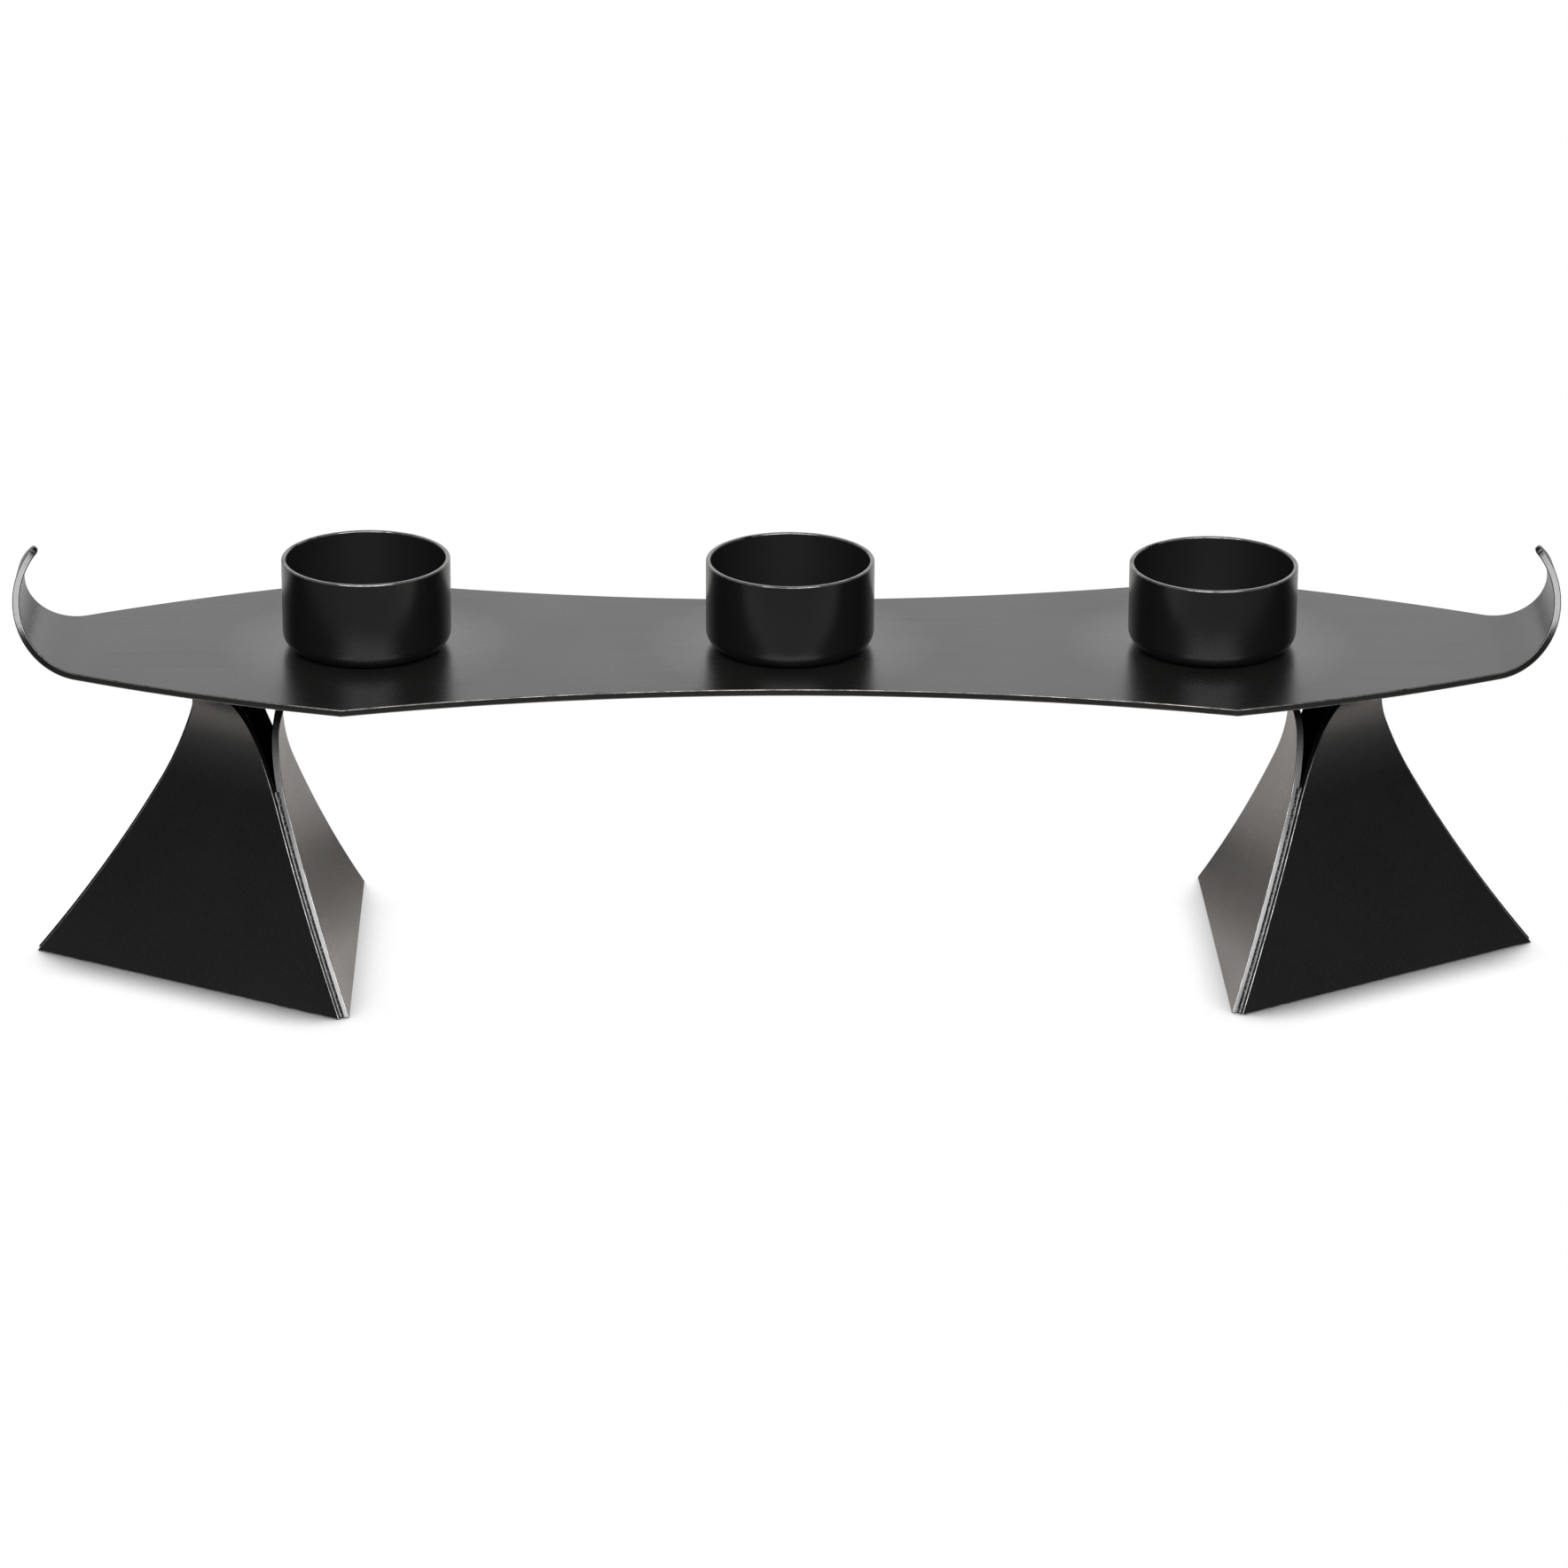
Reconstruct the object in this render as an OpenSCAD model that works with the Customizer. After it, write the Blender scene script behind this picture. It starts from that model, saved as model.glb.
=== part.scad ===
// Long table candelabra of blackened plate: a boat-shaped tray with curled points,
// three candle cups, and two three-sided stands whose plates are rolled, not folded.
// Millimetres, +Z up. The origin is on the floor, under the middle of the tray.

/* [Plate] */
// Thickness of the tray and of every stand plate
plate_t = 3.2; // [2:0.1:4.5]

/* [Tray] */
// Height of the tray's underside above the floor
tray_under = 145.2; // [135:0.2:175]
// Full width across the narrow middle
waist_w = 119; // [90:1:150]
// Full width across the four corners
corner_w = 171.6; // [160:0.2:200]
// Distance between the left and the right corners
corner_span = 396.4; // [330:0.4:440]
// Distance between the lines where the two ends start to curl
bend_span = 638.8; // [590:0.4:700]
// Inner radius of the curled ends
horn_r = 26; // [20:0.5:36]
// Angle through which each end curls
horn_sweep = 137; // [95:0.5:150]
// Width of the rounded tips
tip_w = 5.8; // [3:0.2:10]
// How far a tapered edge bows out of the straight line from corner to tip
edge_bow = 7.6; // [3:0.1:12]

/* [Cups] */
// Outside diameter of a cup
cup_d = 76.2; // [60:0.2:90]
// Wall of a cup
cup_wall = 2.1; // [1.5:0.1:3.5]
// Thickness of a cup's base, which takes the screw
cup_base_t = 4; // [3.6:0.1:8]
// Height of the left cup, the tallest by a little
left_cup_h = 41.5; // [30:0.5:70]
// Height of the middle cup
centre_cup_h = 40.5; // [30:0.5:70]
// Height of the right cup, the lowest
right_cup_h = 38.5; // [30:0.5:70]
// Distance from one cup's centre to the next
cup_pitch = 191.4; // [150:0.2:200]
// How far the row of cups sits to the right of the tray's middle
cup_shift = 1.2; // [-4:0.1:4]
// Radius of the rounded foot outside
cup_foot_r = 7.8; // [3:0.1:9]
// Radius of the corner between wall and base inside
cup_root_r = 3; // [1:0.1:6]
// Radius of the two eased edges of the rim
rim_ease = 0.6; // [0.3:0.1:0.7]

/* [Stands] */
// Distance from the tray's middle to the axis of the left stand
left_stand_out = 247.7; // [220:0.1:260]
// Distance from the tray's middle to the axis of the right stand
right_stand_out = 248.4; // [220:0.1:260]
// How far the left stand sits towards the front
left_forward = 1.6; // [-4:0.1:4]
// How far the right stand sits towards the back
right_back = 3.7; // [-4:0.1:4]
// Angle by which the right stand is turned on its own axis
right_turn = 1.4; // [-6:0.1:6]
// Side of the triangle in which the plates' inner faces meet the floor
stand_side = 162.8; // [150:0.2:190]
// Angle by which a plate leans out at the floor
stand_lean = 22.2; // [20:0.1:24]
// Large radius to which the body of a plate is rolled
body_r = 850; // [700:10:1200]
// Small radius to which a plate is rolled under the curl
neck_r = 103; // [90:0.5:115]
// Radius to which a plate's top is curled outwards
curl_r = 35.2; // [30:0.2:40]
// Height at which neighbouring plates part
split_h = 80; // [60:0.5:84]
// Width of a plate's toe where it meets the tray
toe_w = 6; // [4:0.2:8]
// Length of the flat toe that lies against the tray
toe_len = 4; // [4:0.2:8]

/* [Welds] */
// Height to which the welds between the plates run
weld_h = 88; // [84:0.5:95]
// Leg of the weld that lies in the groove between two plates
groove_leg = 1.2; // [0.8:0.1:1.9]
// How far the weld in the groove stands up in its middle
groove_crown = 0.2; // [0.1:0.05:0.5]
// Leg of the fillet around each toe
toe_leg = 2.2; // [1.2:0.1:2.6]

/* [Screws] */
// Distance between the two screws under each cup
screw_pitch = 32; // [24:1:46]
// Diameter of a cup screw
screw_d = 4; // [3:0.1:5]
// Head diameter of a cup screw
screw_head_d = 7.5; // [6.5:0.1:8.5]
// Width across the flats of the screw's socket
socket_af = 2.5; // [1.5:0.1:3]
// Depth of the screw's socket
socket_depth = 1.4; // [0.8:0.1:1.8]
// Clearance around a screw's shank
screw_clear = 0.1; // [0.05:0.01:0.3]
// Space left between a screw's end and the end of its hole
screw_end_clear = 0.3; // [0.2:0.1:0.8]
// Metal left in a cup's base above its screw hole
base_skin = 1; // [0.6:0.1:1.5]

/* [Hidden] */

$fn = 180;
arc_fn = 1080;             // for the tray's long arcs
margin = 1;                // how far a cutting solid stands past the faces that it cuts
tip_flat = 0.2;            // what is left of a round tip where it would close to a point
tip_steps = 6;             // facets in each half of a round tip
horn_steps = 18;           // facets along the taper of a curled end
body_steps = 16;           // facets up a stand plate as far as the parting
neck_steps = 14;           // from there to where the plate stands upright
curl_steps = 26;           // and round its curl
weld_steps = 4;            // facets along a weld above the parting
tray_top = tray_under + plate_t;
tray_colour = "#4a4947";
cup_colour = "#222222";
plate_colour = "#2b2a29";
weld_colour = "#6b6966";
screw_colour = "#3a3a3a";

// ---- The tray's outline, half-widths against the length measured along the plate ----

tip_r = tip_w / 2;
bend_x = bend_span / 2;
corner = [corner_span / 2, corner_w / 2];
horn_len = (horn_r + plate_t / 2) * horn_sweep * PI / 180;
tip_s = bend_x + horn_len - tip_r;

// The tapered edge is an arc from the corner to the side of the tip
taper_chord = [tip_s, tip_r] - corner;
taper_r = (pow(norm(taper_chord) / 2, 2) + edge_bow * edge_bow) / (2 * edge_bow);
taper_in = [taper_chord[1], -taper_chord[0]] / norm(taper_chord);
taper_c = (corner + [tip_s, tip_r]) / 2 + taper_in * (taper_r - edge_bow);
function taper_half(s) = taper_c[1] + sqrt(pow(taper_r, 2) - pow(s - taper_c[0], 2));

// The waist is an arc through the corners and the narrow middle
waist_rise = (corner_w - waist_w) / 2;
waist_r = (pow(corner[0], 2) + waist_rise * waist_rise) / (2 * waist_rise);

// Right half of the tray without its waist, as far as the bend
module half_outline() {
    intersection() {
        translate([-margin, -corner_w]) square([bend_x + margin, 2 * corner_w]);
        intersection_for (sy = [-1, 1])
            translate([taper_c[0], sy * taper_c[1]]) circle(r = taper_r, $fn = arc_fn);
    }
}

module tray_outline() {
    difference() {
        union() {
            half_outline();
            mirror([1, 0]) half_outline();
        }
        for (sy = [-1, 1])
            translate([0, sy * (waist_w / 2 + waist_r)]) circle(r = waist_r, $fn = arc_fn);
    }
}

// ---- Lofts: a closed solid through rings of equally many points ----

module loft(rings) {
    n = len(rings);
    m = len(rings[0]);
    walls = [for (i = [0:n - 2], j = [0:m - 1])
        [i * m + j, i * m + (j + 1) % m, (i + 1) * m + (j + 1) % m, (i + 1) * m + j]];
    halves = [for (q = walls, h = [0, 1]) h == 0 ? [q[0], q[2], q[1]] : [q[0], q[3], q[2]]];
    caps = [[for (j = [0:m - 1]) j], [for (j = [0:m - 1]) n * m - 1 - j]];
    polyhedron(points = [for (r = rings, p = r) p], faces = concat(halves, caps));
}

// ---- The curled ends of the tray ----

tip_end = 88;              // the tip's round stops a little short of closing, at 90
tip_sweep = (tip_r * 180 / PI) / (horn_r + plate_t / 2);

// Angles and half-widths down one horn: first the taper, then the round tip
horn_stations = concat(
    [for (i = [0:horn_steps])
        let (a = (horn_sweep - tip_sweep) * i / horn_steps)
        [a, taper_half(bend_x + (horn_r + plate_t / 2) * a * PI / 180)]],
    [for (i = [1:tip_steps])
        let (q = tip_end * i / tip_steps)
        [horn_sweep - tip_sweep + tip_sweep * sin(q), tip_r * cos(q)]]);

// A ring across the curl at angle a, square to the plate, from corner to corner
function horn_ring(a, w) = [for (c = [[-margin, -w], [plate_t + margin, -w],
                                      [plate_t + margin, w], [-margin, w]])
    [bend_x + (horn_r + c[0]) * sin(a), c[1], tray_top + horn_r - (horn_r + c[0]) * cos(a)]];

pie_steps = 6;
module pie(r, from, to) {
    polygon(concat([[0, 0]], [for (i = [0:pie_steps])
        let (a = from + (to - from) * i / pie_steps) [2 * r * cos(a), 2 * r * sin(a)]]));
}

module ring_sector(r_in, r_out, from, to) {
    intersection() {
        difference() {
            circle(r = r_out);
            circle(r = r_in);
        }
        pie(r_out, from, to);
    }
}

module horn() {
    intersection() {
        translate([bend_x, 0, tray_top + horn_r]) rotate([90, 0, 0])
            linear_extrude(height = corner_w, center = true)
                ring_sector(horn_r, horn_r + plate_t, -90, horn_sweep - 90);
        loft([for (h = horn_stations) horn_ring(h[0], h[1])]);
    }
}

// ---- Cups and their screws ----

screw_head_h = (screw_head_d - screw_d) / 2;
cup_x = [cup_shift - cup_pitch, cup_shift, cup_shift + cup_pitch];
screw_y = [-screw_pitch / 2, screw_pitch / 2];
cup_r = cup_d / 2;
screw_hole_r = screw_d / 2 + screw_clear;

module tray() color(tray_colour) {
    difference() {
        union() {
            translate([0, 0, tray_under]) linear_extrude(height = plate_t) tray_outline();
            horn();
            mirror([1, 0, 0]) horn();
        }
        for (x = cup_x, y = screw_y) translate([x, y, tray_under]) {
            translate([0, 0, -margin]) cylinder(h = plate_t + 2 * margin, r = screw_hole_r);
            screw_head(screw_clear);
        }
    }
}

// Countersunk head, widened by a clearance; below the plate it runs on straight
module screw_head(clear) {
    cylinder(h = screw_head_h, r1 = screw_head_d / 2 + clear, r2 = screw_d / 2 + clear);
    if (clear > 0)
        translate([0, 0, -margin]) cylinder(h = margin, r = screw_head_d / 2 + clear);
}

module foot_profile(r, h, corner_r) {
    translate([0, corner_r]) square([r, h - corner_r]);
    square([r - corner_r, corner_r]);
    translate([r - corner_r, corner_r]) circle(r = corner_r);
}

// What is cut off a square outer edge to leave a rounded one
module edge_round(r) {
    difference() {
        square(r + margin);
        circle(r = r);
    }
}

module cup_profile(h) {
    inner_r = cup_r - cup_wall;
    intersection() {
        difference() {
            foot_profile(cup_r, h, cup_foot_r);
            translate([0, cup_base_t]) foot_profile(inner_r, h, cup_root_r);
            translate([cup_r - rim_ease, h - rim_ease]) edge_round(rim_ease);
            translate([inner_r + rim_ease, h - rim_ease]) mirror([1, 0]) edge_round(rim_ease);
        }
        square([cup_d, h]);
    }
}

module cup(i, h) color(cup_colour)
    translate([cup_x[i], 0, tray_top]) difference() {
        rotate_extrude() cup_profile(h);
        for (y = screw_y) translate([0, y, -margin])
            cylinder(h = cup_base_t - base_skin + margin, r = screw_hole_r);
    }

module cup_left() cup(0, left_cup_h);
module cup_centre() cup(1, centre_cup_h);
module cup_right() cup(2, right_cup_h);

module cup_screws() color(screw_colour) {
    shank = plate_t + cup_base_t - base_skin - screw_end_clear;
    for (x = cup_x, y = screw_y) translate([x, y, tray_under]) difference() {
        union() {
            screw_head(0);
            cylinder(h = shank, r = screw_d / 2);
        }
        translate([0, 0, -margin])
            cylinder(h = socket_depth + margin, r = socket_af / sqrt(3), $fn = 6);
    }
}

// ---- Stand plates: a tapered blank, rolled along its length ----
// A plate's own frame: X points out from the stand's axis, Y runs along the plate, Z is up.

throat_h = tray_under - curl_r;                    // where a plate stands upright
foot_in = stand_side / (2 * sqrt(3));              // axis to the inner face at the floor
toe_r = toe_w / 2;

// Lean where the body's large radius gives way to the neck's small one
neck_lean = asin((body_r * sin(stand_lean) - throat_h) / (body_r - neck_r));
neck_in = foot_in - body_r * (cos(neck_lean) - cos(stand_lean));
throat_in = neck_in - neck_r * (1 - cos(neck_lean));

// Lengths along the inner face at which the neck, the curl and the flat toe begin and end
function arc(r, a) = r * a * PI / 180;
neck_s = arc(body_r, stand_lean - neck_lean);
curl_s = neck_s + arc(neck_r, neck_lean);
flat_toe_s = curl_s + arc(curl_r, 90);
end_s = flat_toe_s + toe_len;
toe_s = end_s - toe_r;

// Length at which the inner face is at a height within the body or the neck
function length_at(h) =
    let (a = asin(sin(stand_lean) - h / body_r))
    a > neck_lean ? arc(body_r, stand_lean - a) : curl_s - arc(neck_r, asin((throat_h - h) / neck_r));

// Lean of the plate at a length s up its inner face; negative where it curls out
function lean_at(s) =
    s < neck_s ? stand_lean - s / arc(body_r, 1) :
    s < curl_s ? (curl_s - s) / arc(neck_r, 1) :
    -min(90, (s - curl_s) / arc(curl_r, 1));

// Point [x, z] on the inner face at that length
function inner_face(s) =
    let (a = lean_at(s))
    s < neck_s ? [foot_in - body_r * (cos(a) - cos(stand_lean)), body_r * (sin(stand_lean) - sin(a))] :
    s < curl_s ? [throat_in + neck_r * (1 - cos(a)), throat_h - neck_r * sin(a)] :
    [throat_in + curl_r * (1 - cos(a)) + max(0, s - flat_toe_s), throat_h - curl_r * sin(a)];

// Half-width of the blank. Up to the parting it meets its neighbours on the inner arris,
// then it narrows to the toe without a kink, and the toe is round.
split_s = length_at(split_h);
split_half = sqrt(3) * inner_face(split_s)[0];
taper_power = sqrt(3) * sin(lean_at(split_s)) * (toe_s - split_s) / (split_half - toe_r);
function half_at(s) =
    s < split_s ? sqrt(3) * inner_face(s)[0] :
    s < toe_s ? toe_r + (split_half - toe_r) * pow((toe_s - s) / (toe_s - split_s), taper_power) :
    sqrt(max(pow(tip_flat / 2, 2), pow(toe_r, 2) - pow(s - toe_s, 2)));

// Point of the plate at that length, so deep into its thickness and so far along its width
function plate_point(s, depth, y) =
    let (p = inner_face(s), a = lean_at(s))
    [p[0] + depth * cos(a), y, p[1] + depth * sin(a)];

// The outer face reaches the floor a little lower down its own arc than the inner face
floor_s = arc(body_r, stand_lean - asin(body_r * sin(stand_lean) / (body_r - plate_t)));

// The four corners of a cut square across the blank; the first cut is level with the floor
function across(s_in, s_out) = [
    plate_point(s_in, 0, -half_at(s_in)),
    plate_point(s_in, 0, half_at(s_in)),
    plate_point(s_out, plate_t, half_at(s_out)),
    plate_point(s_out, plate_t, -half_at(s_out))];

function between(from, to, steps) = [for (i = [1:steps]) from + (to - from) * i / steps];
body_s = between(0, split_s, body_steps);
free_s = concat(between(split_s, curl_s, neck_steps), between(curl_s, flat_toe_s, curl_steps),
    toe_s > flat_toe_s ? [toe_s] : []);
round_s = [for (i = [1:tip_steps]) toe_s + toe_r * sin(90 * i / tip_steps)];

module stand_plate() {
    loft(concat([across(0, floor_s)], [for (s = concat(body_s, free_s, round_s)) across(s, s)]));
}

// ---- The weld in the groove between two plates ----
// It is built at the corner between the plate that faces +X and the next one, 120 degrees on.
// Its root lies midway between the inner arrises of the two plates.

weld_s = length_at(weld_h);
next_plate = 120;          // angle from one plate of a stand to the next
function turned(p, a) = [p[0] * cos(a) - p[1] * sin(a), p[0] * sin(a) + p[1] * cos(a), p[2]];
function opposite(p) = turned([p[0], -p[1], p[2]], next_plate);
function groove_ring(s) =
    let (arris = plate_point(s, 0, half_at(s)),
         root = (arris + opposite(arris)) / 2,
         one = plate_point(s, groove_leg, half_at(s)),
         two = opposite(one),
         out = (one + two) / 2 - root,
         crown = (one + two) / 2 + out / norm(out) * groove_crown)
    [root, one, (one + crown) / 2 + out / norm(out) * groove_crown / 4, crown,
     (two + crown) / 2 + out / norm(out) * groove_crown / 4, two];

module groove_weld() {
    loft([for (s = concat([0], body_s, between(split_s, weld_s, weld_steps))) groove_ring(s)]);
}

// The fillet around a toe, in the plate's own frame
module toe_weld() {
    translate([inner_face(toe_s)[0], 0, tray_under]) rotate([0, 0, -90])
        rotate_extrude(angle = 180)
            polygon([[toe_r, 0], [toe_r + toe_leg, 0], [toe_r, -toe_leg]]);
}

// ---- The two stands ----
// Plates face these ways on the right stand; the left stand is its mirror image, unturned.

inner_way = 180;
front_way = inner_way + next_plate;
back_way = front_way + next_plate;

module on_right(way)
    translate([right_stand_out, right_back, 0]) rotate([0, 0, way + right_turn]) children();
module on_left(way)
    mirror([1, 0, 0]) translate([left_stand_out, -left_forward, 0]) rotate([0, 0, way]) children();

module right_stand_front_plate() color(plate_colour) on_right(front_way) stand_plate();
module right_stand_back_plate() color(plate_colour) on_right(back_way) stand_plate();
module right_stand_inner_plate() color(plate_colour) on_right(inner_way) stand_plate();
module left_stand_front_plate() color(plate_colour) on_left(front_way) stand_plate();
module left_stand_back_plate() color(plate_colour) on_left(back_way) stand_plate();
module left_stand_inner_plate() color(plate_colour) on_left(inner_way) stand_plate();

module right_stand_outer_weld() color(weld_colour) on_right(front_way) groove_weld();
module right_stand_back_weld() color(weld_colour) on_right(back_way) groove_weld();
module right_stand_front_weld() color(weld_colour) on_right(inner_way) groove_weld();
module left_stand_outer_weld() color(weld_colour) on_left(front_way) groove_weld();
module left_stand_back_weld() color(weld_colour) on_left(back_way) groove_weld();
module left_stand_front_weld() color(weld_colour) on_left(inner_way) groove_weld();

module right_stand_front_toe_weld() color(weld_colour) on_right(front_way) toe_weld();
module right_stand_back_toe_weld() color(weld_colour) on_right(back_way) toe_weld();
module right_stand_inner_toe_weld() color(weld_colour) on_right(inner_way) toe_weld();
module left_stand_front_toe_weld() color(weld_colour) on_left(front_way) toe_weld();
module left_stand_back_toe_weld() color(weld_colour) on_left(back_way) toe_weld();
module left_stand_inner_toe_weld() color(weld_colour) on_left(inner_way) toe_weld();

tray();
cup_left();
cup_centre();
cup_right();
cup_screws();
left_stand_front_plate();
left_stand_back_plate();
left_stand_inner_plate();
right_stand_front_plate();
right_stand_back_plate();
right_stand_inner_plate();
left_stand_front_weld();
left_stand_back_weld();
left_stand_outer_weld();
right_stand_front_weld();
right_stand_back_weld();
right_stand_outer_weld();
left_stand_front_toe_weld();
left_stand_back_toe_weld();
left_stand_inner_toe_weld();
right_stand_front_toe_weld();
right_stand_back_toe_weld();
right_stand_inner_toe_weld();
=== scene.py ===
"""Dresses the packed table candelabra: eased plates, turned cups, weld beads and their finishes."""

import math

import bmesh
import bpy
from mathutils import Matrix, Vector, noise


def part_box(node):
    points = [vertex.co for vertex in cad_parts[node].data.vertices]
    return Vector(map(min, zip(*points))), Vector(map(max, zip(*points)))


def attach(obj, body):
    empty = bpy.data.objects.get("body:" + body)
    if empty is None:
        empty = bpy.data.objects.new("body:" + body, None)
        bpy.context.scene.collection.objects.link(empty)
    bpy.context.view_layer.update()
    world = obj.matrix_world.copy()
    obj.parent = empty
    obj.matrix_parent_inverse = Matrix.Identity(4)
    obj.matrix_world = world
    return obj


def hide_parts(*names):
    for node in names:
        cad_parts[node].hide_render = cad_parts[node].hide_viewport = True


bl_info = {
    "name": "Table candelabra",
    "version": (1, 0, 0),
    "blender": (4, 5, 0),
    "location": "View3D > Sidebar > Candelabra",
    "description": "Builds the plates, cups, welds and finishes of a long table candelabra",
    "category": "Object",
}

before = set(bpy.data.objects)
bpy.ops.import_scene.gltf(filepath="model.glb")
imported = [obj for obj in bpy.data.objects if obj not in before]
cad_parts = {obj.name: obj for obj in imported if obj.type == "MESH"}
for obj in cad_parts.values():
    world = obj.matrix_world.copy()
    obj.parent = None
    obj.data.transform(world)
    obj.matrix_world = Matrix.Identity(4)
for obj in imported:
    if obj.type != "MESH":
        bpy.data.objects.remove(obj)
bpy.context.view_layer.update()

SIDES = ("left", "right")
CUPS = ("cup_left", "cup_centre", "cup_right")
PLATES = ("front", "back", "inner")
CORNERS = ("front", "back", "outer")

TRAY_LOW, TRAY_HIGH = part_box("tray")

# How the meshes are cut and joined
MERGE = 1e-6
FLAT_TURN = math.radians(0.2)
SMOOTH_TURN = math.radians(28)
ARRIS_TURN = math.radians(40)
EASE_STEPS = 4
CUT_WIDTH = 0.0045

# The tray's steps: along each stretch of a half, round a tip, and across
TO_CORNER, TO_BEND, TO_TIP, ROUND_TIP, ACROSS = 26, 16, 44, 8, 8

# How far round the tip they go, the half-width and the share of the thickness that are left
# there, and how far the finished tray may stray from the CAD one
TIP_ARC, TIP_LEAST, NOSE_LEAST, TRAY_SLACK = math.radians(88), 0.0001, 0.2, 0.0010

# The cups' steps: round the axis, round a foot or a root, and round a rim's edge
CUP_STEPS, ROUND_STEPS, RIM_STEPS = 160, 8, 5

# The welds' lumps: their seed, their scales per metre and the fine ones' share
WELD_SEED, LUMPS, FINE_LUMPS, FINE_SHARE = 7, 380.0, 900.0, 0.5

# The height over which the dressing of a weld ends, and the share of the lumps that it leaves
WELD_FADE, DRESSED_SHARE = 0.01, 0.12

# Where a finish or painted shade fades: heights above the floor, and distances from a cup's axis
RUB_ENDS = (TRAY_LOW.z + 0.004, TRAY_LOW.z + 0.012)
# Painted shade on the cut edges under the tray rises between the first two heights and stops at the
# tray
TRAY_SHADE_STARTS = (0.080, 0.118)
TRAY_SHADE_ENDS = (TRAY_LOW.z - 0.001, TRAY_LOW.z)
WAX_ENDS = (0.038, 0.068)

# How deep a relief is, and how strongly wax and bare metal show
GRAIN_DEPTH, CUP_DEPTH, WELD_DEPTH = 0.000004, 0.000003, 0.00002
WAX, WAX_ROUGHNESS = 0.3, 0.2
BARE, STAND_BARE, RUB_TINT = 0.8, 0.5, 0.5

# Scales of the noises, per metre, and the levels between which some of them count
TRAY_GRAIN, STAND_GRAIN, COARSER = (9.0, 1400.0, 0.0), (1300.0, 1300.0, 14.0), 0.22
CLOUDS, PITS, RUBBING = 14.0, 900.0, 160.0
PIT_LEVELS, RUB_LEVELS = (0.62, 0.75), (0.30, 0.62)
CUP_RINGS, CUP_CLOUDS, CUP_GRIT, CUP_RUBBING = (0.5, 0.5, 1500.0), 22.0, 1400.0, 140.0
CUP_RUB_LEVELS = (0.32, 0.60)
WELD_SOOT, WELD_SPECKS, SPECK_LEVELS = 420.0, 1100.0, (0.52, 0.66)

# The lamps: their power settings, where they stand, and how wide and high they are
AIM = Vector((0.0, 0.0, 0.1))
LAMPS = {
    "key_box": ("key_power", Vector((0.0, -2.6, 2.6)), (4.6, 1.7)),
    "low_box": ("low_power", Vector((0.0, -3.4, 1.35)), (3.4, 0.7)),
    "top_box": ("top_power", Vector((0.0, -0.3, 2.1)), (1.7, 0.9)),
}

# The floor: its circle, where the warm paint ends, and the sides and depth of the painted shade
# pool
FLOOR_RADIUS, FLOOR_STEPS = 9.0, 96
PAINT_ENDS = (0.40, 0.60)
SHADE_POOL_SLANT, SHADE_POOL_SIDES, SHADE_POOL_DEPTH = 0.5, (0.40, 0.75), (-0.45, -0.10)

# The contact shadow: the way it looks up and back, and how open sky becomes white
LEAN = {"Y": 0.6, "Z": 0.8}
SHADE_LEVELS, SHADE_POWER, SHADE_SAMPLES = (0.34, 0.865), 1.3, 16

# The wall behind: how far ahead it starts and how far up it ends, as parts of a unit vector
WALL_STARTS, WALL_TOP = (0.5, 0.9), (0.6, 0.85)
WHITE = (1.0, 1.0, 1.0, 1.0)

# The camera's sensor in millimetres, and how far it sees in metres
SENSOR_WIDTH, SIGHT = 36.0, 60.0


# ---- Sizes and colours that a user would change ----


def length(name, description, default):
    """A size in metres."""
    return bpy.props.FloatProperty(
        name=name, description=description, default=default, min=0.0, precision=5, unit="LENGTH")


def colour(name, description, default):
    """A colour without alpha."""
    return bpy.props.FloatVectorProperty(
        name=name, description=description, default=default, min=0.0, max=1.0, size=3,
        subtype="COLOR")


def number(name, description, default):
    """A plain number."""
    return bpy.props.FloatProperty(name=name, description=description, default=default, min=0.0)


def angle(name, description, default):
    """An angle, written in degrees."""
    return bpy.props.FloatProperty(
        name=name, description=description, default=math.radians(default), subtype="ANGLE")


class TraySizes(bpy.types.PropertyGroup):
    """The tray's blank and the way its ends are curled"""

    thickness: length("Thickness", "Thickness of the plate", 0.0032)
    waist: length("Waist", "Full width across the narrow middle", 0.119)
    corner_width: length(
        "Corner width", "Full width across the corners", TRAY_HIGH.y - TRAY_LOW.y)
    corner_span: length("Corner span", "Distance between left and right corners", 0.3964)
    bend_span: length(
        "Bend span", "Distance between the lines where the ends start to curl", 0.6388)
    curl_radius: length("Curl radius", "Inner radius of the curled ends", 0.026)
    curl_sweep: angle("Curl sweep", "Angle through which each end curls", 137.0)
    tip_width: length("Tip width", "Width of the rounded tips", 0.0058)
    edge_bow: length("Edge bow", "How far a tapered edge bows outwards", 0.0076)
    ease: length("Ease", "Radius of the eased arrises", 0.0005)


class CupSizes(bpy.types.PropertyGroup):
    """The turned cups"""

    wall: length("Wall", "Thickness of a cup's wall", 0.0021)
    base: length("Base", "Thickness of a cup's base", 0.004)
    foot_radius: length("Foot radius", "Rounding of the foot outside", 0.0078)
    root_radius: length("Root radius", "Rounding between wall and base inside", 0.003)
    rim_ease: length("Rim ease", "Rounding of the rim's two edges", 0.0006)


class StandSizes(bpy.types.PropertyGroup):
    """The stands' plates and welds"""

    ease: length("Ease", "Radius of the plates' eased arrises", 0.0004)
    weld_pitch: length("Weld pitch", "Height between the cuts along a weld", 0.0008)
    weld_lump: length("Weld lump", "How far the weld's surface strays", 0.00018)
    weld_dressed: length(
        "Weld dressed", "Height up to which the corner welds are dressed smooth", 0.066)


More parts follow.
